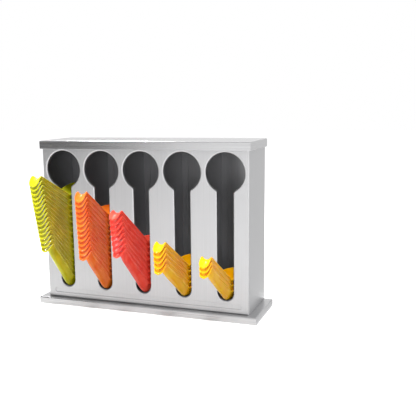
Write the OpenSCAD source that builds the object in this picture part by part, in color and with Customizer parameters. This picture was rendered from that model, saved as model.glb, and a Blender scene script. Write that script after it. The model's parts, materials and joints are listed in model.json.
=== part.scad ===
// Counter-top spoon dispenser: a folded sheet cabinet with five keyhole slots, each in
// front of its own compartment, on a wide plinth and under a lift-off cover. Hooked
// spoons lie nested in the compartments with their handles out through the necks.
// Millimetres. X runs along the front, Y from the front panel's face to the back, Z up.
// The origin lies on the surface the plinth stands on, below the middle of the front face.

/* [Cabinet] */
// Width of the cabinet over its side panels
body_w = 331; // [320:1:360]
// Least room from the outer compartments' edges to the cabinet's sides
side_room = 3; // [2.5:0.5:5]
// Depth of the cabinet over its front and back panels
body_d = 88; // [84:1:110]
// Height of the cabinet above the plinth
body_h = 246.6; // [238:0.2:290]
// Thickness of the steel sheet
sheet = 1; // [0.8:0.1:1.4]
// Outer radius of the folds on the cabinet
fold_r = 2; // [1.6:0.1:3]
// Depth of the turned-in flanges that stand on the plinth
foot_flange = 22; // [20:1:26]
// Width of the flange that fixes a divider to the back panel
divider_flange = 10; // [6:1:14]
// Space left between a divider and the cover
divider_drop = 6; // [2:1:20]
// Space left between a divider and the keyholes' collars
divider_gap = 0.5; // [0.3:0.1:3]

/* [Keyholes] */
// Distance from one keyhole to the next
pitch = 65; // [64:0.5:70]
// Radius of the round hole that a spoon's bowl comes out through
hole_r = 28.4; // [26:0.2:29.4]
// Height of the round holes above the plinth
hole_z = 204; // [190:1:206]
// Least strip of the front panel between the cover's rim and the round holes' collars
rim_strip = 0.8; // [0.4:0.1:2]
// Width of the neck that the handles slide in
neck_w = 24; // [23:0.2:28]
// Height of the neck's round bottom above the plinth
neck_low = 18.4; // [16:0.2:22]
// Radius between the round hole and the neck
neck_fillet = 5; // [2:0.5:8]
// Depth of the collar turned in around each keyhole
collar = 5; // [4:0.5:6]

/* [Pressed bead] */
// Length of the bead pressed along the front below the keyholes
bead_l = 308; // [260:1:312]
// Width of the bead
bead_w = 7; // [4:0.5:8]
// Height of the bead's lower edge above the plinth
bead_low = 7.3; // [5:0.1:8]
// Depth that the bead is pressed in by
bead_deep = 0.8; // [0.4:0.1:1]

/* [Cover] */
// Depth of the cover's rim
rim_h = 12.7; // [8:0.1:14]
// Space between the cabinet's sides and the rim
cover_side_gap = 1.2; // [0.6:0.1:2]
// Space between the front panel and the rim
cover_front_gap = 2.8; // [1:0.1:3.4]
// Space between the back panel and the rim
cover_back_gap = 3.2; // [1:0.1:4]
// Clearance under the cover where it rests on the cabinet
cover_seat = 0.2; // [0.1:0.05:0.4]
// Radius of the folds on the cover
cover_fold_r = 2; // [1.4:0.1:2.6]

/* [Plinth] */
// Width of the plinth
plinth_w = 357; // [350:1:380]
// Height of the plinth
plinth_h = 10.7; // [9:0.1:14]
// Distance the plinth stands out in front
plinth_front = 9; // [6:0.5:12]
// Distance the plinth stands out behind
plinth_back = 3; // [2:0.5:8]
// Width of the hem turned in under the plinth
hem_w = 15; // [12:0.5:16]
// Radius of the folds along the plinth's top
plinth_fold_r = 2.4; // [1.4:0.1:3]

/* [Rivets] */
// Diameter of a rivet's shank
rivet_d = 3.2; // [2.4:0.1:4]
// Diameter of a rivet's head
rivet_head_d = 6.4; // [5:0.1:8]
// Height of a rivet's head
rivet_head_h = 1.2; // [0.8:0.1:1.5]
// Distance of the rivets behind the front panel and before the back panel
rivet_inset = 16; // [14:0.5:18]

/* [Spoons] */
// Number of spoons in each stack, from left to right
spoon_counts = [16, 13, 8, 5, 3];
// Length of a spoon from its handle's place in the slot to its crest
handle_l = 80; // [74:1:84]
// Rise of the handle over that length
handle_rise = 51.5; // [44:0.5:56]
// Half the width of the handle at the slot
handle_half_w = 9.7; // [8.5:0.1:10]
// Half the width of the handle at its crest
crest_half_w = 7; // [6:0.1:8]
// Depth of the handle's channel
handle_deep = 13; // [11:0.5:14]
// Length of a bowl from the slot to its far end
bowl_l = 75; // [66:1:76]
// Half the width of a bowl
bowl_half_w = 21.5; // [18:0.5:22]
// Depth of a bowl
bowl_deep = 22; // [18:0.5:24]
// Length of the hook beyond the crest
hook_l = 17; // [14:0.5:20]
// Drop of the hook's tip below the crest
hook_drop = 10; // [7:0.5:13]
// Thickness of a spoon's floor
spoon_t = 1.9; // [1.6:0.1:2.2]
// Thickness of a handle's wall at its lip
handle_lip = 1.3; // [1:0.1:1.4]
// Thickness of a bowl's wall at its lip
bowl_lip = 2.2; // [1.4:0.1:2.3]
// Clearance between the bottom spoon and the neck it lies in
spoon_seat = 0.3; // [0.2:0.05:0.6]
// Clearance between a turned bowl and the divider beside it
bowl_side_gap = 0.6; // [0.4:0.1:1]

/* [Hidden] */
$fn = 64;
eps = 0.01;

slots = len(spoon_counts);
half_w = body_w / 2;
// the slots close up in a cabinet too narrow for their pitch
slot_step = min(pitch, (body_w - 2 * side_room) / slots);
function slot_x(i) = (i - (slots - 1) / 2) * slot_step;
body_low = plinth_h;
body_top = plinth_h + body_h;
floor_top = body_low + 2 * sheet;
// the round holes move down with the cover's rim in a low cabinet
rim_low = body_top + cover_seat + sheet - rim_h;
hole_at = min(body_low + hole_z, rim_low - rim_strip - sheet - hole_r);
neck_at = body_low + neck_low + neck_w / 2;

// ---- keyhole outline, drawn in the front panel's plane with its round hole at the origin
// grow widens the outline by that much all round
module keyhole(grow = 0) {
    r = hole_r + grow;
    w = neck_w / 2 + grow;
    f = neck_fillet - grow;
    drop = hole_at - neck_at;
    // centre of the fillet between the circle and the neck
    fx = w + f;
    fz = -sqrt((r + f) * (r + f) - fx * fx);
    circle(r);
    translate([0, -drop]) circle(w);
    translate([-w, -drop]) square([2 * w, drop]);
    difference() {
        translate([-fx, fz]) square([2 * fx, -fz]);
        for (side = [-1, 1])
            translate([side * fx, fz]) circle(f);
        // beside the circle, outside the fillets
        for (side = [-1, 1])
            translate([side > 0 ? fx * r / (r + f) : -fx * r / (r + f) - 2 * fx, fz - eps])
                square([2 * fx, -fz + 2 * eps]);
    }
}

// stands a drawing of the front panel's plane up at depth y, with a thickness t behind it
module upright(y, t) {
    translate([0, y + t, 0]) rotate([90, 0, 0]) linear_extrude(t) children();
}

// the sharp corner that a fold of radius r takes off an edge along X of length l
module fold_cut(l, r) {
    rotate([90, 0, 90]) translate([0, 0, -l / 2]) linear_extrude(l)
        difference() {
            translate([-eps, -eps]) square(r + eps);
            translate([r, r]) circle(r);
        }
}

// a slot with round ends, lying along X
module stadium(l, w) {
    square([l - w, w], center = true);
    for (side = [-1, 1])
        translate([side * (l - w) / 2, 0]) circle(w / 2);
}

module front_panel() {
    bead_at = body_low + bead_low + bead_w / 2;
    bead_in = min(bead_l, body_w - 2 * (fold_r + sheet));
    color("silver") difference() {
        union() {
            // face between the two corner folds
            translate([-half_w + fold_r, 0, body_low]) cube([body_w - 2 * fold_r, sheet, body_h]);
            // corner folds
            for (side = [-1, 1])
                translate([side * (half_w - fold_r), fold_r, body_low])
                    intersection() {
                        difference() {
                            cylinder(h = body_h, r = fold_r);
                            translate([0, 0, -1]) cylinder(h = body_h + 2, r = fold_r - sheet);
                        }
                        translate([side > 0 ? 0 : -fold_r, -fold_r, 0]) cube([fold_r, fold_r, body_h]);
                    }
            // flange that stands on the plinth
            translate([-half_w + 2 * fold_r, sheet, body_low])
                cube([body_w - 4 * fold_r, foot_flange, sheet]);
            // back of the pressed bead
            translate([0, 0, bead_at]) upright(sheet, bead_deep) stadium(bead_in + 2 * sheet, bead_w + 2 * sheet);
            // collars around the keyholes
            for (i = [0 : slots - 1])
                translate([slot_x(i), 0, hole_at]) upright(0, collar) keyhole(sheet);
        }
        for (i = [0 : slots - 1])
            translate([slot_x(i), 0, hole_at]) upright(-1, collar + 2) keyhole();
        translate([0, 0, bead_at]) upright(-1, 1 + bead_deep) stadium(bead_in, bead_w);
        translate([0, 0, body_low]) fold_cut(body_w - 2 * fold_r, fold_r * 0.8);
        rivet_holes();
    }
}

module side_panel(side) {
    color("gainsboro")
        translate([side > 0 ? half_w - sheet : -half_w, fold_r, body_low])
            cube([sheet, body_d - fold_r, body_h]);
}
module left_side_panel() { side_panel(-1); }
module right_side_panel() { side_panel(1); }

module back_panel() {
    color("silver") difference() {
        union() {
            translate([-half_w + sheet, body_d - sheet, body_low])
                cube([body_w - 2 * sheet, sheet, body_h]);
            translate([-half_w + 2 * fold_r, body_d - sheet - foot_flange, body_low])
                cube([body_w - 4 * fold_r, foot_flange, sheet]);
        }
        rivet_holes();
    }
}

// the floor of all five compartments, lying on the front and back flanges
module floor_panel() {
    color("lightgray") difference() {
        translate([-half_w + sheet, sheet + bead_deep, body_low + sheet])
            cube([body_w - 2 * sheet, body_d - 2 * sheet - bead_deep, sheet]);
        rivet_holes();
    }
}

// wall between compartments k and k + 1, with its flange against the back panel
module divider(k) {
    x = (slot_x(k - 1) + slot_x(k)) / 2;
    top = body_top - divider_drop;
    front = collar + divider_gap;
    color("darkgray") {
        translate([x - sheet / 2, front, floor_top])
            cube([sheet, body_d - sheet - front, top - floor_top]);
        translate([x + sheet / 2, body_d - 2 * sheet, floor_top])
            cube([divider_flange, sheet, top - floor_top]);
    }
}
module divider_1() { divider(1); }
module divider_2() { divider(2); }
module divider_3() { divider(3); }
module divider_4() { divider(4); }

// folded pan, open underneath inside its hem
module plinth() {
    depth = plinth_front + body_d + plinth_back;
    color("silver") difference() {
        translate([-plinth_w / 2, -plinth_front, 0]) cube([plinth_w, depth, plinth_h]);
        // hollow under the top
        translate([-plinth_w / 2 + sheet, -plinth_front + sheet, sheet])
            cube([plinth_w - 2 * sheet, depth - 2 * sheet, plinth_h - 2 * sheet]);
        // opening inside the hem
        translate([-plinth_w / 2 + hem_w, -plinth_front + hem_w, -1])
            cube([plinth_w - 2 * hem_w, depth - 2 * hem_w, sheet + 2]);
        // folds along the top
        for (turn = [0, 180])
            translate([0, -plinth_front + depth / 2, plinth_h]) rotate([0, 0, turn])
                translate([0, -depth / 2, 0]) mirror([0, 0, 1]) fold_cut(plinth_w + 2, plinth_fold_r);
        for (turn = [90, 270])
            translate([0, -plinth_front + depth / 2, plinth_h]) rotate([0, 0, turn])
                translate([0, -plinth_w / 2, 0]) mirror([0, 0, 1]) fold_cut(depth + 2, plinth_fold_r);
        rivet_holes();
    }
}

// places of the blind rivets that hold the plinth, the flanges and the floor together
module at_rivets() {
    for (k = [-1.5, -0.5, 0.5, 1.5])
        for (y = [rivet_inset, body_d - rivet_inset])
            translate([(k - sign(k) / 4) * slot_step, y, 0]) children();
}
module rivet_holes() {
    at_rivets() translate([0, 0, body_low - 2 * sheet]) cylinder(h = 5 * sheet, d = rivet_d);
}
module rivets() {
    color("gray") at_rivets() {
        translate([0, 0, body_low - sheet]) cylinder(h = 3 * sheet, d = rivet_d);
        translate([0, 0, floor_top]) cylinder(h = rivet_head_h, d = rivet_head_d);
        translate([0, 0, body_low - sheet - rivet_head_h])
            cylinder(h = rivet_head_h, d = rivet_head_d * 0.8);
    }
}

// lift-off cover with its rim turned down all round
module cover() {
    w = body_w + 2 * (cover_side_gap + sheet);
    front = -cover_front_gap - sheet;
    depth = body_d + cover_front_gap + cover_back_gap + 2 * sheet;
    under = body_top + cover_seat;
    top = under + sheet;
    color("whitesmoke") difference() {
        translate([-w / 2, front, top - rim_h]) cube([w, depth, rim_h]);
        translate([-w / 2 + sheet, front + sheet, top - rim_h - 1])
            cube([w - 2 * sheet, depth - 2 * sheet, rim_h - sheet + 1]);
        for (turn = [0, 180])
            translate([0, front + depth / 2, top]) rotate([0, 0, turn])
                translate([0, -depth / 2, 0]) mirror([0, 0, 1]) fold_cut(w + 2, cover_fold_r);
        for (turn = [90, 270])
            translate([0, front + depth / 2, top]) rotate([0, 0, turn])
                translate([0, -w / 2, 0]) mirror([0, 0, 1]) fold_cut(depth + 2, cover_fold_r);
    }
}

// ---- spoons
// A spoon is a thin shell drawn through sections that stand across it. Each section is
// [y, lip height, half width, depth, roundness]; y is 0 in the slot and negative outside,
// and heights are above the lip's height in the slot.
bowl_sections = [
    [bowl_l,        -1.6, 0.34 * bowl_half_w, 0.20 * bowl_deep, 1.5],
    [0.95 * bowl_l, -1.8, 0.62 * bowl_half_w, 0.46 * bowl_deep, 1.5],
    [0.86 * bowl_l, -2.0, 0.86 * bowl_half_w, 0.76 * bowl_deep, 1.5],
    [0.72 * bowl_l, -2.2, bowl_half_w,        0.95 * bowl_deep, 1.5],
    [0.52 * bowl_l, -2.4, 0.99 * bowl_half_w, bowl_deep,        1.5],
    [0.34 * bowl_l, -2.2, 0.86 * bowl_half_w, 0.97 * bowl_deep, 1.5],
    [0.20 * bowl_l, -1.8, 0.64 * bowl_half_w, 0.84 * bowl_deep, 1.6],
    [0.09 * bowl_l, -0.9, handle_half_w + 0.2, handle_deep + 2, 1.8]];
function handle_section(part, deep) =
    [-part * handle_l, part * handle_rise,
     handle_half_w + part * (crest_half_w - handle_half_w), deep, 2];
handle_sections = [
    [0, 0, handle_half_w, handle_deep + 0.5, 1.9],
    for (part = [0.16, 0.5, 0.84]) handle_section(part, handle_deep),
    [-0.95 * handle_l, 0.955 * handle_rise, crest_half_w, 0.78 * handle_deep, 2]];
// shares of the hook's length, its drop and the crest's width, depth below the lip, roundness
hook_sections = [for (h = [[0, 0, 1, 0.46 * handle_deep, 1.7], [0.22, 0.03, 1, 0.40 * handle_deep, 1.6],
                           [0.5, 0.28, 1, 4.6, 1.5], [0.75, 0.6, 0.93, 4.2, 1.4],
                           [0.91, 0.85, 0.74, 3.6, 1.4], [1, 1, 0.44, 2.7, 1.4]])
    [-handle_l - h[0] * hook_l, handle_rise - h[1] * hook_drop, h[2] * crest_half_w, h[3], h[4]]];
sections = concat(bowl_sections, handle_sections, hook_sections);

across = 6;
function around(k) = -90 + 180 * k / across;
// under side of a section from its left lip to its right lip
function outer_ring(s) = [for (k = [0 : across])
    [s[2] * sin(around(k)), s[0], s[1] - s[3] * pow(cos(around(k)), s[4])]];
// upper side, back from the right lip to the left
function lip_t(s) = min(s[0] < 0 ? handle_lip : bowl_lip, 0.4 * s[2]);
function inner_ring(s) = let (w = s[2] - lip_t(s), d = s[3] - min(spoon_t, 0.6 * s[3]))
    [for (k = [across : -1 : 0]) [w * sin(around(k)), s[0], s[1] - d * pow(cos(around(k)), s[4])]];
ring_n = 2 * (across + 1);
spoon_points = [for (s = sections) each concat(outer_ring(s), inner_ring(s))];
spoon_faces = let (m = len(sections)) concat(
    [for (j = [0 : m - 2], k = [0 : ring_n - 1]) let (
        a = j * ring_n + k, b = j * ring_n + (k + 1) % ring_n, c = a + ring_n, d = b + ring_n)
        each [[a, c, b], [b, c, d]]],
    // ends: strips between the under side and the upper side
    [for (k = [0 : across - 1]) each [
        [k, k + 1, ring_n - 2 - k], [k, ring_n - 2 - k, ring_n - 1 - k]]],
    [for (k = [0 : across - 1]) let (o = (m - 1) * ring_n) each [
        [o + k + 1, o + k, o + ring_n - 2 - k], [o + ring_n - 2 - k, o + k, o + ring_n - 1 - k]]]);

// the spoon as it lies when its handle rises at its own slope, lip at height 0 in the slot
module spoon() {
    polyhedron(spoon_points, spoon_faces, convexity = 6);
}

// How each stack lies, one value a stack from left to right
// tilt of the bottom and of the top spoon, beyond the handle's own slope
tilt_low = [10.6, 6.8, 10.5, 1.6, 1.6];
tilt_top = [-9.3, -4.3, 3.6, -0.9, -0.3];
// turn of the bottom and of the top spoon about the slot
turn_low = [10.4, 9.2, 0.4, 0.4, 0];
turn_top = [6.5, 9.6, 0, 0.4, 0];
// height from one spoon to the next in the slot
spoon_step = [8.59, 8.48, 9.21, 8.45, 8.4];
colours = ["yellowgreen", "darkorange", "tomato", "gold", "gold"];
// height of a spoon's keel below its lip, at depth y inside the slot, when tilted by t
function keel(y, t) = lookup(y, [for (s = sections) let (low = s[1] - s[3])
    [s[0] * cos(t) + low * sin(t), low * cos(t) - s[0] * sin(t)]]);
// the bottom spoon's keel lies on the inner edge of the collar
function lip_low(i) = body_low + neck_low + spoon_seat - keel(collar, tilt_low[i]);

// a spoon turns about the slot until its bowl would meet a divider or its heel the collar
heel = bowl_sections[len(bowl_sections) - 1];
turn_room = asin(max(0, min(((slot_step - sheet) / 2 - bowl_half_w - bowl_side_gap) / (0.72 * bowl_l),
                            (neck_w / 2 - heel[2] - spoon_seat) / heel[0])));
function turned(angle) = min(angle, turn_room);

// spoon k of stack i, counted from the bottom
module placed_spoon(i, k) {
    part = k / (spoon_counts[i] - 1);
    tilt = tilt_low[i] + part * (tilt_top[i] - tilt_low[i]);
    translate([slot_x(i), 0, lip_low(i) + k * spoon_step[i]])
        rotate([0, 0, turned(turn_low[i] + part * (turn_top[i] - turn_low[i]))])
            rotate([-tilt, 0, 0])
                spoon();
}
module stack(i) {
    color(colours[i]) for (k = [0 : spoon_counts[i] - 2]) placed_spoon(i, k);
}
module top_spoon(i) {
    color(colours[i]) placed_spoon(i, spoon_counts[i] - 1);
}
module stack_1() { stack(0); }
module stack_2() { stack(1); }
module stack_3() { stack(2); }
module stack_4() { stack(3); }
module stack_5() { stack(4); }
module top_spoon_1() { top_spoon(0); }
module top_spoon_2() { top_spoon(1); }
module top_spoon_3() { top_spoon(2); }
module top_spoon_4() { top_spoon(3); }
module top_spoon_5() { top_spoon(4); }

front_panel();
left_side_panel();
right_side_panel();
back_panel();
floor_panel();
divider_1();
divider_2();
divider_3();
divider_4();
plinth();
rivets();
cover();
stack_1();
stack_2();
stack_3();
stack_4();
stack_5();
top_spoon_1();
top_spoon_2();
top_spoon_3();
top_spoon_4();
top_spoon_5();
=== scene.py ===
# %% [markdown]
# # A counter-top spoon dispenser
# The real thing is a folded steel cabinet with five keyhole slots. Hooked spoons lie nested
# behind each slot, with their handles out through its neck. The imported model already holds
# every piece at its true size and place, so it is loaded first and never moved. What is
# left to do is the finish: eased edges on the steel, smooth spoons, brushed metal, glossy
# moulded plastic, and a plain studio to see them in. Lengths are metres. Those of the
# spoons, slots and rivets are millimetres, as in the part's source, times MM.

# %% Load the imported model
import json
import math

import bmesh
import bpy
import numpy as np
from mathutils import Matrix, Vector

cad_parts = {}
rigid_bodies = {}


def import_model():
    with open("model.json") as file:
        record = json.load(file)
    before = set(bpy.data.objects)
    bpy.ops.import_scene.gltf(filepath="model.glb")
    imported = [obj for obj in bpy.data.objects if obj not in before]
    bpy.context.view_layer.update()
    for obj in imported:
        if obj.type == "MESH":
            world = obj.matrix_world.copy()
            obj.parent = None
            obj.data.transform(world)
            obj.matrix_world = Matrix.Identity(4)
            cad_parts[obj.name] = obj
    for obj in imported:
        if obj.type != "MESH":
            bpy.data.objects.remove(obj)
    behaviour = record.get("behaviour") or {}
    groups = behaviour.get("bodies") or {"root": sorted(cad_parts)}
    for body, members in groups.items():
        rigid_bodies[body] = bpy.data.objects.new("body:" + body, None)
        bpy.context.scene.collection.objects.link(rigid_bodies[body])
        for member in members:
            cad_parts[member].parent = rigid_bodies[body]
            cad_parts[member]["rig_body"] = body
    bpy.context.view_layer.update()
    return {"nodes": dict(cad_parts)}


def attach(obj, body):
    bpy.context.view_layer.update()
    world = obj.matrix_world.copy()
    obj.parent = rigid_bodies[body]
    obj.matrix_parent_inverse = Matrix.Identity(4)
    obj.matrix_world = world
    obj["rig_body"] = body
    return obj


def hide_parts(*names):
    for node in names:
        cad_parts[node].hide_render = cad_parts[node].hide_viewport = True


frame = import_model()

# %% [markdown]
# ## Camera
# The camera stands a little to the right of the cabinet and slightly above it. Its place and
# lens were solved from points whose places on the model are known, such as the centres of
# the round holes, so the perspective is not fitted by eye.

# %% Camera
camera_data = bpy.data.cameras.new("camera")
camera_data.sensor_width = 36
camera_data.lens = 57.1
camera_data.shift_x, camera_data.shift_y = 0.0674, 0.0288
camera = bpy.data.objects.new("camera", camera_data)
camera.location = (0.4041, -0.8793, 0.3130)
camera.rotation_euler = [math.radians(a) for a in (79.883, 0.962, 21.111)]
bpy.context.scene.collection.objects.link(camera)
bpy.context.scene.camera = camera
bpy.context.scene.view_settings.view_transform = "Standard"
print("camera is", round(camera.location.length, 2), "m from the origin")

# %% [markdown]
# ## Node helpers
# A material is a small network. These helpers add a node, set its plain values and join two
# sockets, so that each finish below reads as a short recipe.

# %% Helpers for node networks
def add(tree, kind, **settings):
    node = tree.nodes.new(kind)
    for name, value in settings.items():
        setattr(node, name, value)
    return node


def join(tree, source, out, target, into):
    tree.links.new(source.outputs[out], target.inputs[into])


def new_finish(name):
    """A material with only a Principled shader, ready for its recipe."""
    finish = bpy.data.materials.new(name)
    finish.use_nodes = True
    return finish, finish.node_tree, finish.node_tree.nodes["Principled BSDF"]


# %% [markdown]
# ## Brushed steel
# Stainless sheet is rubbed with an abrasive belt, which leaves fine parallel scratches. They
# blur reflections across the grain and show as faint streaks. One noise is stretched more
# than a hundredfold along the grain for the streaks, and a second, wide and soft, gives the
# slow cloudiness of handled metal. Both steer colour and roughness, and the fine one also
# drives a very small bump. A stretched noise was chosen over modelled scratches, which would
# be far too many and too small. The inside of the cabinet lies in shade, and that shade is
# painted into the steel: faces that lie within its box, found from the place on the piece,
# get a darker tint, a painted shade.

# %% Brushed steel
# the space within the cabinet's sheet and behind the keyholes' collars
INSIDE_HALF_W, INSIDE_MIDDLE_Y, INSIDE_HALF_D, INSIDE_LOW = 0.165, 0.0465, 0.041, 0.011
# painted shade: the colour that darkens the steel inside the cabinet, standing in for the shade
# there
INSIDE_PAINTED_SHADE = (0.57, 0.57, 0.58, 1)


def inside_cabinet(tree, where):
    """1 within the cabinet's walls and behind the keyholes' collars, elsewhere 0."""
    place = add(tree, "ShaderNodeSeparateXYZ")
    join(tree, where, "Object", place, "Vector")
    both = add(tree, "ShaderNodeMath", operation="MULTIPLY")
    walls = (("X", 0, INSIDE_HALF_W), ("Y", INSIDE_MIDDLE_Y, INSIDE_HALF_D))
    for slot, (axis, middle, half) in enumerate(walls):
        near = add(tree, "ShaderNodeMath", operation="COMPARE")
        join(tree, place, axis, near, 0)
        near.inputs[1].default_value = middle
        near.inputs[2].default_value = half
        join(tree, near, "Value", both, slot)
    high = add(tree, "ShaderNodeMath", operation="GREATER_THAN")
    join(tree, place, "Z", high, 0)
    high.inputs[1].default_value = INSIDE_LOW
    all_three = add(tree, "ShaderNodeMath", operation="MULTIPLY")
    join(tree, both, "Value", all_three, 0)
    join(tree, high, "Value", all_three, 1)
    return all_three


SCALE_ALONG, SCALE_ACROSS = 7, 900


def brushed_steel(name, tint, grain, roughness=0.38, streak=0.08, metal=0.93):
    """Steel whose scratches run along grain, a unit vector."""
    finish, tree, shader = new_finish(name)
    where = add(tree, "ShaderNodeTexCoord")
    stretch = add(tree, "ShaderNodeMapping")
    stretch.inputs["Scale"].default_value = [SCALE_ALONG if g else SCALE_ACROSS for g in grain]
    join(tree, where, "Object", stretch, "Vector")
    scratches = add(tree, "ShaderNodeTexNoise")
    scratches.inputs["Scale"].default_value = 1
    scratches.inputs["Detail"].default_value = 3
    join(tree, stretch, "Vector", scratches, "Vector")
    clouds = add(tree, "ShaderNodeTexNoise")
    clouds.inputs["Scale"].default_value = 9
    clouds.inputs["Detail"].default_value = 2
    join(tree, where, "Object", clouds, "Vector")
    both = add(tree, "ShaderNodeMix", data_type="FLOAT")
    both.inputs["Factor"].default_value = 0.35
    join(tree, scratches, "Fac", both, "A")
    join(tree, clouds, "Fac", both, "B")
    colour = add(tree, "ShaderNodeValToRGB")
    low, high = colour.color_ramp.elements
    low.position, high.position = 0.3, 0.7
    low.color = [c * (1 - streak) for c in tint] + [1]
    high.color = [min(c * (1 + streak), 1) for c in tint] + [1]
    join(tree, both, "Result", colour, "Fac")
    # painted shade: within the cabinet the steel's colour is darkened, in place of the shade
    # that falls inside
    painted_inside_shade = add(tree, "ShaderNodeMix", data_type="RGBA", blend_type="MULTIPLY")
    painted_inside_shade.inputs["B"].default_value = INSIDE_PAINTED_SHADE
    tree.links.new(inside_cabinet(tree, where).outputs["Value"], painted_inside_shade.inputs["Factor"])
    tree.links.new(colour.outputs["Color"], painted_inside_shade.inputs["A"])
    tree.links.new(painted_inside_shade.outputs["Result"], shader.inputs["Base Color"])
    rough = add(tree, "ShaderNodeMapRange")
    rough.inputs["From Min"].default_value = 0.3
    rough.inputs["From Max"].default_value = 0.7
    rough.inputs["To Min"].default_value = roughness * 0.8
    rough.inputs["To Max"].default_value = roughness * 1.2
    join(tree, both, "Result", rough, "Value")
    join(tree, rough, "Result", shader, "Roughness")
    bump = add(tree, "ShaderNodeBump")
    bump.inputs["Strength"].default_value = 0.12
    bump.inputs["Distance"].default_value = 0.00005
    join(tree, scratches, "Fac", bump, "Height")
    join(tree, bump, "Normal", shader, "Normal")
    way = add(tree, "ShaderNodeCombineXYZ")
    for axis, value in zip("XYZ", grain):
        way.inputs[axis].default_value = value
    join(tree, way, "Vector", shader, "Tangent")
    shader.inputs["Metallic"].default_value = metal
    shader.inputs["Anisotropic"].default_value = 0.5
    return finish


steel = {
    "cabinet_steel": brushed_steel("cabinet_steel", (0.46, 0.46, 0.467), (0, 0, 1)),
    "inner_steel": brushed_steel("inner_steel", (0.46, 0.46, 0.467), (0, 0, 1)),
    "plinth_steel": brushed_steel("plinth_steel", (0.45, 0.45, 0.457), (1, 0, 0), 0.3, 0.2),
    "cover_steel": brushed_steel("cover_steel", (0.48, 0.48, 0.487), (1, 0, 0), 0.22, 0.1),
    "rivet_steel": brushed_steel("rivet_steel", (0.38, 0.38, 0.39), (1, 0, 0), 0.3, 0.05),
}
print("steel finishes:", sorted(steel))

# %% [markdown]
# ## Glossy moulded plastic
# The spoons are moulded melamine: one colour right through, a hard gloss, and a faint
# unevenness where the moulded skin has cooled. The colour varies a little from place to
# place, and a soft bump breaks up the highlights. A thin clear coat gives the sharp
# highlight on top of the softer one below.

# %% Glossy melamine
def glossy_melamine(name, colour, deep):
    """colour is the moulded colour, deep the same colour a little stronger and darker."""
    finish, tree, shader = new_finish(name)
    where = add(tree, "ShaderNodeTexCoord")
    mottle = add(tree, "ShaderNodeTexNoise")
    mottle.inputs["Scale"].default_value = 45
    mottle.inputs["Detail"].default_value = 3
    join(tree, where, "Object", mottle, "Vector")
    mix = add(tree, "ShaderNodeMix", data_type="RGBA")
    mix.inputs["A"].default_value = (*colour, 1)
    mix.inputs["B"].default_value = (*deep, 1)
    share = add(tree, "ShaderNodeMapRange")
    share.inputs["From Min"].default_value = 0.35
    share.inputs["From Max"].default_value = 0.75
    join(tree, mottle, "Fac", share, "Value")
    tree.links.new(share.outputs["Result"], mix.inputs["Factor"])
    tree.links.new(mix.outputs["Result"], shader.inputs["Base Color"])
    rough = add(tree, "ShaderNodeMapRange")
    rough.inputs["To Min"].default_value = 0.14
    rough.inputs["To Max"].default_value = 0.28
    join(tree, mottle, "Fac", rough, "Value")
    join(tree, rough, "Result", shader, "Roughness")
    ripple = add(tree, "ShaderNodeTexNoise")
    ripple.inputs["Scale"].default_value = 160
    join(tree, where, "Object", ripple, "Vector")
    bump = add(tree, "ShaderNodeBump")
    bump.inputs["Strength"].default_value = 0.15
    bump.inputs["Distance"].default_value = 0.0002
    join(tree, ripple, "Fac", bump, "Height")
    join(tree, bump, "Normal", shader, "Normal")
    shader.inputs["Specular IOR Level"].default_value = 0.14
    shader.inputs["Coat Weight"].default_value = 0.15
    shader.inputs["Coat Roughness"].default_value = 0.08
    return finish


melamine = {
    "lime_melamine": glossy_melamine("lime_melamine", (0.68, 0.67, 0.01), (0.48, 0.48, 0.005)),
    "orange_melamine": glossy_melamine("orange_melamine", (1, 0.26, 0.025), (0.94, 0.12, 0.006)),
    "coral_melamine": glossy_melamine("coral_melamine", (1, 0.1, 0.06), (0.92, 0.035, 0.022)),
    "amber_melamine": glossy_melamine("amber_melamine", (1, 0.58, 0.003), (1, 0.42, 0.002)),
}
print("plastic finishes:", sorted(melamine))

# %% [markdown]
# ## Eased steel
# Cut sheet is never razor sharp: its edges are eased, and they catch a thin line of light.
# The exact solids have no such easing, so each sheet piece is copied, its loose triangles
# are merged, and a small bevel goes on every edge that turns more than 30 degrees. The copy
# then stands for its node. Modelling the bevel in the solids would gain nothing there.
#
# The rims of the keyholes are drawn inwards by a press, which leaves them much rounder. A
# bevel that wide would trip over its own neighbours, so a ring with a hollow quarter round
# is swept along each rim and cut away instead.
#
# A bevel shades well only if the flat faces beside it stay flat. So every corner on a flat
# face gets that face's own direction, and every corner on a round one gets the mean of the
# round faces that meet there, or the direction of the flat face that it runs into.

# %% Shading directions for flat sheet with round edges
def set_directions(mesh):
    """Keeps the flat faces flat and lets the round ones run smoothly into them."""
    flat = [max(abs(c) for c in face.normal) > 0.9999 for face in mesh.polygons]
    around = [[] for _ in mesh.vertices]
    for face in mesh.polygons:
        for v in face.vertices:
            around[v].append(face.index)
    directions = []
    for face in mesh.polygons:
        for v in face.vertices:
            near = [k for k in around[v] if mesh.polygons[k].normal.dot(face.normal) > 0.6]
            planes = [k for k in near if flat[k]]
            if flat[face.index]:
                way = face.normal.copy()
            elif planes:
                way = max((mesh.polygons[k].normal for k in planes), key=face.normal.dot)
            else:
                way = sum((mesh.polygons[k].normal * mesh.polygons[k].area for k in near),
                          Vector())
            directions.append(way.normalized())
    mesh.normals_split_custom_set(directions)


# %% Round the rims of the keyholes
BEAD_TOP, SHEET_EDGE, SHARP_TURN = 0.028, 0.005, math.radians(60)


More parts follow.
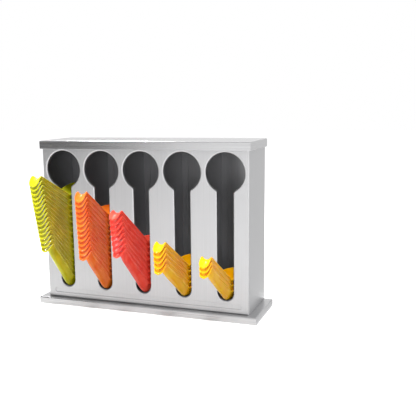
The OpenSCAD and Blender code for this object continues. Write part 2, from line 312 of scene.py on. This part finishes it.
def rims_in(shape):
    """The closed rims in the front face of a sheet, each a list of points in order.
    Its bead lies below BEAD_TOP, and its own outline within SHEET_EDGE of its ends."""
    edge_x, edge_z = [max(abs(v.co[axis]) for v in shape.verts) for axis in (0, 2)]
    follow = {}
    for edge in shape.edges:
        if all(v.co.y < 1e-5 and abs(v.co.x) < edge_x - SHEET_EDGE
               and BEAD_TOP < v.co.z < edge_z - SHEET_EDGE for v in edge.verts):
            if edge.calc_face_angle() > SHARP_TURN:
                one, two = edge.verts
                follow.setdefault(one, []).append(two)
                follow.setdefault(two, []).append(one)
    rims = []
    while follow:
        here = next(iter(follow))
        rim = []
        while here in follow:
            rim.append(here.co.copy())
            here = next((v for v in follow.pop(here) if v in follow), None)
        rims.append(rim)
    return rims


def rim_cutter(rims, radius):
    """Rings that take the sharp corner off each rim and leave a quarter round."""
    steps = [math.radians(a) for a in (0, 22.5, 45, 67.5, 90)]
    section = [(radius * (1 - math.sin(a)), radius * (1 - math.cos(a))) for a in steps]
    spare = 0.0005  # the ring stands that much out of the sheet
    section += [(-spare, radius), (-spare, -spare), (radius, -spare)]
    tool = bmesh.new()
    for rim in rims:
        area = sum(a.x * b.z - b.x * a.z for a, b in zip(rim, rim[1:] + rim[:1]))
        if area < 0:
            rim.reverse()
        loops = []
        for before, here, after in zip(rim[-1:] + rim[:-1], rim, rim[1:] + rim[:1]):
            one, two = (here - before).normalized(), (after - here).normalized()
            out = (Vector((one.z + two.z, 0, -one.x - two.x))) / (1 + one.dot(two))
            loops.append([tool.verts.new((here.x + u * out.x, y, here.z + u * out.z))
                          for u, y in section])
        for one, two in zip(loops, loops[1:] + loops[:1]):
            for k in range(len(section)):
                m = (k + 1) % len(section)
                tool.faces.new((one[k], one[m], two[m], two[k]))
    bmesh.ops.recalc_face_normals(tool, faces=tool.faces)
    mesh = bpy.data.meshes.new("rim_cutter")
    tool.to_mesh(mesh)
    tool.free()
    return mesh


# %% Copy a sheet piece and ease its edges
def eased(node, finish, ease, press=0):
    """A copy of a node with its edges eased by that radius, on the same body.
    press is the radius at the rims of the openings in its front face."""
    source = frame["nodes"][node]
    mesh = source.data.copy()
    shape = bmesh.new()
    shape.from_mesh(mesh)
    bmesh.ops.remove_doubles(shape, verts=shape.verts, dist=1e-6)
    bmesh.ops.dissolve_limit(shape, angle_limit=math.radians(0.5), verts=shape.verts,
                             edges=shape.edges)
    rims = rims_in(shape) if press else []
    shape.to_mesh(mesh)
    shape.free()
    mesh.materials.clear()
    mesh.materials.append(steel[finish])
    mesh.shade_smooth()
    piece = bpy.data.objects.new(node + "_sheet", mesh)
    bpy.context.scene.collection.objects.link(piece)
    if rims:
        tool = bpy.data.objects.new("tool", rim_cutter(rims, press))
        bpy.context.scene.collection.objects.link(tool)
        cut = piece.modifiers.new("cut", "BOOLEAN")
        cut.object = tool
    soften = piece.modifiers.new("ease", "BEVEL")
    soften.width = ease
    soften.segments = 2
    soften.limit_method = "ANGLE"
    soften.angle_limit = math.radians(30)
    soften.use_clamp_overlap = False
    seen = piece.evaluated_get(bpy.context.evaluated_depsgraph_get())
    piece.data = bpy.data.meshes.new_from_object(seen)
    piece.modifiers.clear()
    if rims:
        bpy.data.objects.remove(tool)
    set_directions(piece.data)
    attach(piece, source["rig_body"])
    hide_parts(node)
    return piece


# node, finish, radius of its edges, radius of its pressed rims
sheets = [
    ("front_panel", "cabinet_steel", 0.0003, 0.0023),
    ("left_side_panel", "cabinet_steel", 0.0003),
    ("right_side_panel", "cabinet_steel", 0.0003),
    ("back_panel", "cabinet_steel", 0.0003),
    ("floor_panel", "inner_steel", 0.0002),
    ("divider_1", "inner_steel", 0.0002),
    ("divider_2", "inner_steel", 0.0002),
    ("divider_3", "inner_steel", 0.0002),
    ("divider_4", "inner_steel", 0.0002),
    ("plinth", "plinth_steel", 0.0003),
    ("cover", "cover_steel", 0.0003),
]
for node, finish, *radii in sheets:
    piece = eased(node, finish, *radii)
    print(piece.name, "has", len(piece.data.polygons), "faces")

# %% [markdown]
# ## One spoon
# A spoon is drawn through sections that stand across it, from the far end of its bowl, over
# the slot, up the channel of its handle and down its hook. Each section is a rounded
# channel with two lips. The solids use few, flat faces. Here the same sections are joined by
# smooth curves, and the lips get a round edge, which is what the eye reads as moulded.

# %% Sizes of a spoon
MM = 0.001
HANDLE_L, HANDLE_RISE, HANDLE_HALF_W, HANDLE_DEEP = 80, 51.5, 9.7, 13
CREST_HALF_W, HOOK_L, HOOK_DROP = 7, 17, 10
BOWL_L, BOWL_HALF_W, BOWL_DEEP = 75, 21.5, 22
SPOON_T, HANDLE_LIP, BOWL_LIP = 1.9, 1.3, 2.2
# half the angle that the channel covers, the lips' bead and how far it fades in the bowl
CHANNEL_TURN, LIP_BEAD, BEAD_FADE = 72, 0.45, 8

# place along the spoon, lip height, half width, depth, roundness
bowl = [
    (1.00 * BOWL_L, -1.6, 0.34 * BOWL_HALF_W, 0.20 * BOWL_DEEP, 1.5),
    (0.95 * BOWL_L, -1.8, 0.62 * BOWL_HALF_W, 0.46 * BOWL_DEEP, 1.5),
    (0.86 * BOWL_L, -2.0, 0.86 * BOWL_HALF_W, 0.76 * BOWL_DEEP, 1.5),
    (0.72 * BOWL_L, -2.2, BOWL_HALF_W, 0.95 * BOWL_DEEP, 1.5),
    (0.52 * BOWL_L, -2.4, 0.99 * BOWL_HALF_W, BOWL_DEEP, 1.5),
    (0.34 * BOWL_L, -2.2, 0.86 * BOWL_HALF_W, 0.97 * BOWL_DEEP, 1.5),
    (0.20 * BOWL_L, -1.8, 0.64 * BOWL_HALF_W, 0.84 * BOWL_DEEP, 1.6),
    (0.09 * BOWL_L, -0.9, HANDLE_HALF_W + 0.2, HANDLE_DEEP + 2, 1.8),
]
handle = [(0, 0, HANDLE_HALF_W, HANDLE_DEEP + 0.5, 1.9)]
for part in (0.16, 0.5, 0.84):
    half = HANDLE_HALF_W + part * (CREST_HALF_W - HANDLE_HALF_W)
    handle.append((-part * HANDLE_L, part * HANDLE_RISE, half, HANDLE_DEEP, 2))
handle.append((-0.95 * HANDLE_L, 0.955 * HANDLE_RISE, CREST_HALF_W, 0.78 * HANDLE_DEEP, 2))
# shares of the hook's length and drop and of the crest's width, depth below the lip, roundness
hook = [(-HANDLE_L - length * HOOK_L, HANDLE_RISE - drop * HOOK_DROP, width * CREST_HALF_W,
         deep, roundness)
        for length, drop, width, deep, roundness in (
            (0, 0, 1, 0.46 * HANDLE_DEEP, 1.7), (0.22, 0.03, 1, 0.40 * HANDLE_DEEP, 1.6),
            (0.5, 0.28, 1, 4.6, 1.5), (0.75, 0.6, 0.93, 4.2, 1.4), (0.91, 0.85, 0.74, 3.6, 1.4),
            (0.98, 0.97, 0.5, 2.9, 1.4), (1, 1.02, 0.2, 2, 1.4))]
# a last small section rounds off the bowl
far_end = [(BOWL_L + 0.3, -1.5, 0.16 * BOWL_HALF_W, 0.1 * BOWL_DEEP, 1.5)]
sections = np.array(far_end + bowl + handle + hook, float)
reach = sections[:, 0].max() - sections[:, 0].min()
print(len(sections), "sections, spoon reaches over", round(reach), "mm")


# %% Join the sections by smooth curves
def smooth_between(rows, steps):
    """A curve through every row, with that many steps from each row to the next."""
    out = []
    for j in range(len(rows) - 1):
        a, b = rows[max(j - 1, 0)], rows[j]
        c, d = rows[j + 1], rows[min(j + 2, len(rows) - 1)]
        for t in np.arange(steps) / steps:
            out.append(0.5 * (2 * b + (c - a) * t + (2 * a - 5 * b + 4 * c - d) * t * t
                              + (3 * b - a - 3 * c + d) * t ** 3))
    out.append(rows[-1])
    return np.array(out)


def spoon_ring(section, around=10):
    """Points round one section: under side, right lip, upper side, left lip."""
    y, lip, half, deep, roundness = section
    rim = min(HANDLE_LIP if y < 0 else BOWL_LIP, 0.4 * half)
    floor = deep - min(SPOON_T, 0.6 * deep)
    angles = np.radians(np.linspace(-CHANNEL_TURN, CHANNEL_TURN, around))
    under = [(half * math.sin(a), lip - deep * math.cos(a) ** roundness) for a in angles]
    upper = [((half - rim) * math.sin(a), lip - floor * math.cos(a) ** roundness)
             for a in angles[::-1]]
    fade = min(max((BEAD_FADE - y) / BEAD_FADE, 0), 1)
    bead = LIP_BEAD * fade * min(half / CREST_HALF_W, 1)
    # shares of the lip's width inwards and down, and of the bead outwards
    edge = [(0, 1.3, 0), (0, 1.0, 0.9), (0, 0.35, 1), (0.15, 0.06, 0.5), (0.5, 0, 0),
            (0.85, 0.06, 0), (1, 0.28, 0)]
    right = [(half - rim * s + bead * b, lip - rim * d) for s, d, b in edge]
    left = [(-half + rim * s - bead * b, lip - rim * d) for s, d, b in edge[::-1]]
    return [(x * MM, y * MM, z * MM) for x, z in under + right + upper + left]


rings = [spoon_ring(s) for s in smooth_between(sections, 3)]
spoon_shape = bmesh.new()
loops = [[spoon_shape.verts.new(p) for p in ring] for ring in rings]
for one, two in zip(loops, loops[1:]):
    for k in range(len(one)):
        m = (k + 1) % len(one)
        spoon_shape.faces.new((one[k], one[m], two[m], two[k]))
for end in (loops[0], loops[-1]):
    spoon_shape.faces.new(end)
bmesh.ops.triangulate(spoon_shape, faces=[f for f in spoon_shape.faces if len(f.verts) > 4])
bmesh.ops.recalc_face_normals(spoon_shape, faces=spoon_shape.faces)
spoon_mesh = bpy.data.meshes.new("one_spoon")
spoon_shape.to_mesh(spoon_mesh)
spoon_shape.free()
spoon_mesh.shade_smooth()
print("one spoon has", len(spoon_mesh.vertices), "points")

# %% [markdown]
# ## Stacks of spoons
# The spoons of a stack are all alike and lie by a rule: each is one step higher than the one
# below, and the tilt and the turn in the slot change evenly from the bottom spoon to the top
# one. That is work for Geometry Nodes: a line of points, one for each spoon, an angle worked
# out from the point's number, and the spoon set on each point. The number of the first point
# is an input, so the same rule also makes the top spoon, which is a body of its own because
# it can be lifted out.

# %% The rule that lays a stack
def stack_rule():
    tree = bpy.data.node_groups.new("lay_spoons", "GeometryNodeTree")
    tree.interface.new_socket("Spoon", in_out="INPUT", socket_type="NodeSocketGeometry")
    inputs = {}
    for name, kind in [("Count", "Int"), ("First", "Int"), ("Last", "Int"), ("Slot", "Vector"),
                       ("Step", "Float"), ("Tilt low", "Float"), ("Tilt top", "Float"),
                       ("Turn low", "Float"), ("Turn top", "Float"), ("Finish", "Material")]:
        made = tree.interface.new_socket(name, in_out="INPUT", socket_type="NodeSocket" + kind)
        inputs[name] = made.identifier
    tree.interface.new_socket("Stack", in_out="OUTPUT", socket_type="NodeSocketGeometry")
    given = add(tree, "NodeGroupInput")
    number = add(tree, "ShaderNodeMath", operation="ADD")
    join(tree, add(tree, "GeometryNodeInputIndex"), "Index", number, 0)
    join(tree, given, "First", number, 1)
    share = add(tree, "ShaderNodeMath", operation="DIVIDE")
    join(tree, number, "Value", share, 0)
    join(tree, given, "Last", share, 1)
    angles = add(tree, "ShaderNodeCombineXYZ")
    for low, top, axis in (("Tilt low", "Tilt top", "X"), ("Turn low", "Turn top", "Z")):
        between = add(tree, "ShaderNodeMix", data_type="FLOAT")
        join(tree, share, "Value", between, "Factor")
        join(tree, given, low, between, "A")
        join(tree, given, top, between, "B")
        join(tree, between, "Result", angles, axis)
    rise = add(tree, "ShaderNodeCombineXYZ")
    join(tree, given, "Step", rise, "Z")
    up_to_first = add(tree, "ShaderNodeVectorMath", operation="SCALE")
    join(tree, rise, "Vector", up_to_first, 0)
    join(tree, given, "First", up_to_first, "Scale")
    start = add(tree, "ShaderNodeVectorMath", operation="ADD")
    join(tree, given, "Slot", start, 0)
    join(tree, up_to_first, "Vector", start, 1)
    line = add(tree, "GeometryNodeMeshLine")
    join(tree, given, "Count", line, "Count")
    join(tree, start, "Vector", line, "Start Location")
    join(tree, rise, "Vector", line, "Offset")
    lay = add(tree, "GeometryNodeInstanceOnPoints")
    join(tree, line, "Mesh", lay, "Points")
    join(tree, given, "Spoon", lay, "Instance")
    join(tree, angles, "Vector", lay, "Rotation")
    real = add(tree, "GeometryNodeRealizeInstances")
    join(tree, lay, "Instances", real, "Geometry")
    paint = add(tree, "GeometryNodeSetMaterial")
    join(tree, real, "Geometry", paint, "Geometry")
    join(tree, given, "Finish", paint, "Material")
    join(tree, paint, "Geometry", add(tree, "NodeGroupOutput"), "Stack")
    return tree, inputs


lay_spoons, lay_inputs = stack_rule()
print("inputs:", sorted(lay_inputs))


# %% Turn a rule into a finished piece
def made_by_rule(name, mesh, tree, values, node):
    """Runs a rule on a mesh and keeps the result as a plain mesh in place of a node."""
    maker = bpy.data.objects.new(name + "_maker", mesh)
    bpy.context.scene.collection.objects.link(maker)
    rule = maker.modifiers.new("rule", "NODES")
    rule.node_group = tree
    for socket, value in values.items():
        rule[socket] = value
    seen = maker.evaluated_get(bpy.context.evaluated_depsgraph_get())
    result = bpy.data.meshes.new_from_object(seen)
    piece = bpy.data.objects.new(name, result)
    bpy.context.scene.collection.objects.link(piece)
    maker.modifiers.remove(rule)
    bpy.data.objects.remove(maker)
    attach(piece, frame["nodes"][node]["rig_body"])
    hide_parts(node)
    return piece


# %% [markdown]
# Each stack has its own numbers, read from the photograph: how many spoons, how far the
# bottom and top ones tilt and turn, and the step from one to the next. The steel there shows
# none of the spoons' colours, so the spoons are left out of its reflections. That is a
# choice for the look. Real steel would show them.

# %% Lay the five stacks
PITCH = 65
stacks = [
    # spoons, step in the slot, tilt low and top, turn low and top in degrees, finish
    (16, 8.59, 10.6, -9.3, 10.4, 6.5, "lime_melamine"),
    (13, 8.48, 6.8, -4.3, 9.2, 9.6, "orange_melamine"),
    (8, 9.21, 10.5, 3.6, 0.4, 0, "coral_melamine"),
    (5, 8.45, 1.6, -0.9, 0.4, 0.4, "amber_melamine"),
    (3, 8.4, 1.6, -0.3, 0, 0, "amber_melamine"),
]
BODY_LOW, NECK_LOW, SEAT, COLLAR = 10.7, 18.4, 0.3, 5


def lip_height(tilt):
    """Height of the bottom spoon's lip in the slot, with its keel on the collar's edge."""
    low = sections[:, 1] - sections[:, 3]
    c, s = math.cos(math.radians(tilt)), math.sin(math.radians(tilt))
    along, keel = sections[:, 0] * c + low * s, low * c - sections[:, 0] * s
    return BODY_LOW + NECK_LOW + SEAT - float(np.interp(COLLAR, along[::-1], keel[::-1]))


for i, (count, step, tilt_low, tilt_top, turn_low, turn_top, finish) in enumerate(stacks):
    slot = ((i - 2) * PITCH * MM, 0, lip_height(tilt_low) * MM)
    nested = (f"nested_spoons_{i + 1}", f"stack_{i + 1}", 0, count - 1)
    topmost = (f"topmost_spoon_{i + 1}", f"top_spoon_{i + 1}", count - 1, 1)
    for name, node, first, many in (nested, topmost):
        values = {"Count": many, "First": first, "Last": count - 1, "Slot": slot,
                  "Step": step * MM, "Tilt low": -math.radians(tilt_low),
                  "Tilt top": -math.radians(tilt_top), "Turn low": math.radians(turn_low),
                  "Turn top": math.radians(turn_top), "Finish": melamine[finish]}
        piece = made_by_rule(name, spoon_mesh, lay_spoons,
                             {lay_inputs[k]: v for k, v in values.items()}, node)
        piece.visible_glossy = False
        print(name, "lip at", round(slot[2] / MM + first * step, 1), "mm,",
              len(piece.data.polygons), "faces")

# %% [markdown]
# ## Rivets
# Blind rivets hold the plinth, the flanges and the floor together. Each has a low dome
# inside the cabinet and a crimped tail under the plinth. One rivet is a profile turned about
# its axis, and a rule sets it on the eight places.

# %% One rivet, turned from its profile
SHEET = 1
floor_top = BODY_LOW + 2 * SHEET  # a flange and the floor panel lie on the plinth
# radius, height over the floor panel
profile = [(0, 1.2), (1.2, 1.12), (2.2, 0.85), (2.9, 0.45), (3.2, 0.05), (3.2, 0), (1.6, 0),
           (1.6, -3), (2.4, -3), (2.56, -3.2), (2.4, -3.9), (1.6, -4.2), (0.6, -4.05), (0, -4)]
turned = bmesh.new()
line = [turned.verts.new((r * MM, 0, (floor_top + z) * MM)) for r, z in profile]
edges = [turned.edges.new(pair) for pair in zip(line, line[1:])]
bmesh.ops.spin(turned, geom=line + edges, cent=(0, 0, 0), axis=(0, 0, 1), dvec=(0, 0, 0),
               angle=2 * math.pi, steps=20, use_merge=True)
bmesh.ops.remove_doubles(turned, verts=turned.verts, dist=1e-7)
bmesh.ops.recalc_face_normals(turned, faces=turned.faces)
rivet_mesh = bpy.data.meshes.new("one_rivet")
turned.to_mesh(rivet_mesh)
turned.free()
rivet_mesh.shade_smooth()
rivet_mesh.set_sharp_from_angle(angle=math.radians(40))
print("one rivet has", len(rivet_mesh.polygons), "faces")


# %% Set the rivets on their places
def rivet_rule(places):
    """Sets the rivet on a list of places."""
    tree = bpy.data.node_groups.new("set_rivets", "GeometryNodeTree")
    tree.interface.new_socket("Rivet", in_out="INPUT", socket_type="NodeSocketGeometry")
    inputs = {}
    for name, kind in (("Front row", "Float"), ("Back row", "Float"), ("Finish", "Material")):
        made = tree.interface.new_socket(name, in_out="INPUT", socket_type="NodeSocket" + kind)
        inputs[name] = made.identifier
    tree.interface.new_socket("Rivets", in_out="OUTPUT", socket_type="NodeSocketGeometry")
    given = add(tree, "NodeGroupInput")
    both = add(tree, "GeometryNodeJoinGeometry")
    for row in ("Front row", "Back row"):
        depth = add(tree, "ShaderNodeCombineXYZ")
        join(tree, given, row, depth, "Y")
        for x in places:
            across = add(tree, "ShaderNodeVectorMath", operation="ADD")
            join(tree, depth, "Vector", across, 0)
            across.inputs[1].default_value = (x, 0, 0)
            moved = add(tree, "GeometryNodeTransform")
            join(tree, given, "Rivet", moved, "Geometry")
            join(tree, across, "Vector", moved, "Translation")
            join(tree, moved, "Geometry", both, "Geometry")
    real = add(tree, "GeometryNodeRealizeInstances")
    join(tree, both, "Geometry", real, "Geometry")
    paint = add(tree, "GeometryNodeSetMaterial")
    join(tree, real, "Geometry", paint, "Geometry")
    join(tree, given, "Finish", paint, "Material")
    join(tree, paint, "Geometry", add(tree, "NodeGroupOutput"), "Rivets")
    return tree, inputs


# each row has four, in pitches from the middle, clear of the dividers
RIVETS_AT, FRONT_ROW, BACK_ROW = (-1.25, -0.25, 0.25, 1.25), 0.016, 0.072
set_rivets, rivet_inputs = rivet_rule([k * PITCH * MM for k in RIVETS_AT])
rivets = made_by_rule("blind_rivets", rivet_mesh, set_rivets,
                      {rivet_inputs["Front row"]: FRONT_ROW, rivet_inputs["Back row"]: BACK_ROW,
                       rivet_inputs["Finish"]: steel["rivet_steel"]}, "rivets")
print("rivets:", len(rivets.data.polygons), "faces")

# %% [markdown]
# ## Studio
# A pale floor and a white surround, as for a catalogue picture. Both glow for the rays that
# look at them straight: from the camera, off shiny steel, or through something clear. The
# light that they shed on the object is weaker, so that its colours stay as written.
#
# Steel shows what stands round it, so cards that only reflections see stand about the
# object. A dark one to the left of the camera keeps the left of the front a little greyer
# than its right. Brighter ones in front and to the right light the rounded rims and the
# cover's front, and others behind and beside the object, near white, give the cover's top
# and the right side panel their tone.
#
# The key lamp gives the shadows their direction, and two larger lamps soften them.
# Reflections leave these three out, so that the cards and the surround set the steel's tone.
# A small fourth one, the only lamp that reflections show, brightens the hooks and the front
# a little.

# %% Which rays see the background
def seen_straight(tree):
    """1 for rays from the camera, off shiny surfaces or through clear ones, elsewhere 0."""
    ray = add(tree, "ShaderNodeLightPath")
    glossy = add(tree, "ShaderNodeMath", operation="MAXIMUM")
    join(tree, ray, "Is Camera Ray", glossy, 0)
    join(tree, ray, "Is Glossy Ray", glossy, 1)
    any_of = add(tree, "ShaderNodeMath", operation="MAXIMUM")
    join(tree, glossy, "Value", any_of, 0)
    join(tree, ray, "Is Transmission Ray", any_of, 1)
    return any_of


# %% Floor
FAR, FLOOR_GLOW = 6, 0.8
floor_mesh = bpy.data.meshes.new("studio_floor")
floor_mesh.from_pydata([(-FAR, -FAR, 0), (FAR, -FAR, 0), (FAR, FAR, 0), (-FAR, FAR, 0)], [],
                       [(0, 1, 2, 3)])
studio_floor = bpy.data.objects.new("studio_floor", floor_mesh)
bpy.context.scene.collection.objects.link(studio_floor)
paper = bpy.data.materials.new("paper")
paper.use_nodes = True
tree = paper.node_tree
shader = tree.nodes["Principled BSDF"]
shader.inputs["Base Color"].default_value = (0.5, 0.5, 0.5, 1)
shader.inputs["Roughness"].default_value = 0.9
shader.inputs["Specular IOR Level"].default_value = 0.1
glow = add(tree, "ShaderNodeEmission")
glow.inputs["Color"].default_value = (1, 1, 1, 1)
level = add(tree, "ShaderNodeMath", operation="MULTIPLY")
join(tree, seen_straight(tree), "Value", level, 0)
level.inputs[1].default_value = FLOOR_GLOW
join(tree, level, "Value", glow, "Strength")
total = add(tree, "ShaderNodeAddShader")
join(tree, shader, "BSDF", total, 0)
join(tree, glow, "Emission", total, 1)
join(tree, total, "Shader", tree.nodes["Material Output"], "Surface")
floor_mesh.materials.append(paper)
print("floor is", 2 * FAR, "m wide")

# %% Surround
world = bpy.data.worlds.new("surround")
bpy.context.scene.world = world
world.use_nodes = True
tree = world.node_tree
background = tree.nodes["Background"]
background.inputs["Color"].default_value = (1, 1, 1, 1)
level = add(tree, "ShaderNodeMapRange")
level.inputs["To Min"].default_value = 0.45
level.inputs["To Max"].default_value = 1
join(tree, seen_straight(tree), "Value", level, "Value")
join(tree, level, "Result", background, "Strength")
print("surround lights the object at", round(level.inputs["To Min"].default_value, 2))


# %% Lamps and cards
def soft_lamp(name, place, aim, size, power, mirrored=False):
    """A round lamp that shows in reflections only when mirrored."""
    data = bpy.data.lights.new(name, "AREA")
    data.shape = "DISK"
    data.size = size
    data.energy = power
    lamp = bpy.data.objects.new(name, data)
    lamp.location = place
    way = [a - p for a, p in zip(aim, place)]
    lamp.rotation_mode = "QUATERNION"
    lamp.rotation_quaternion = Vector(way).to_track_quat("-Z", "Y")
    lamp.visible_glossy = mirrored
    bpy.context.scene.collection.objects.link(lamp)


middle = (0, 0.04, 0.13)
soft_lamp("key_lamp", (0.5, -1.2, 1.9), middle, 0.35, 46)
soft_lamp("fill_lamp", (-1.4, -1.3, 1.0), middle, 1.0, 12)
soft_lamp("top_lamp", (-0.2, 0.4, 1.8), middle, 1.2, 13)
soft_lamp("small_lamp", (-0.55, 0.4, 1.2), middle, 0.14, 12, True)


def reflection_card(name, corners, level):
    """A card that only reflections see."""
    mesh = bpy.data.meshes.new(name)
    mesh.from_pydata(corners, [], [(0, 1, 2, 3)])
    card = bpy.data.objects.new(name, mesh)
    bpy.context.scene.collection.objects.link(card)
    for ray in ("camera", "diffuse", "shadow", "transmission", "volume_scatter"):
        setattr(card, "visible_" + ray, False)
    paint = bpy.data.materials.new(name)
    paint.use_nodes = True
    paint.node_tree.nodes.remove(paint.node_tree.nodes["Principled BSDF"])
    glow = add(paint.node_tree, "ShaderNodeEmission")
    glow.inputs["Color"].default_value = (level, level, level, 1)
    join(paint.node_tree, glow, "Emission", paint.node_tree.nodes["Material Output"], "Surface")
    mesh.materials.append(paint)


# name, one lower corner, the other one, height, level
for name, (x0, y0), (x1, y1), high, level in (
        ("left_card", (-1.9, -0.2), (-0.62, -1.35), 1.4, 0.12),
        ("front_card", (-0.55, -1.6), (0.1, -1.7), 0.7, 1.4),
        ("corner_card", (0.1, -2.3), (1.5, -1.7), 1.0, 1.9),
        ("side_card", (1.5, -1.7), (2.1, 0.2), 1.0, 1.9),
        ("back_right_card", (1.6, 0.55), (0.2, 0.55), 0.7, 0.9),
        ("back_left_card", (1.5, 2.5), (-3.5, 2.5), 1.4, 1.08)):
    corners = [(x0, y0, 0), (x1, y1, 0), (x1, y1, high), (x0, y0, high)]
    reflection_card(name, corners, level)
# it lies just over the floor, beside the plinth
(left, front), (right, back), just_over = (0.18, -0.1), (1.6, 0.55), 0.0005
corners = [(x, y, just_over) for x, y in ((left, front), (right, front), (right, back),
                                          (left, back))]
reflection_card("low_card", corners, 0.95)
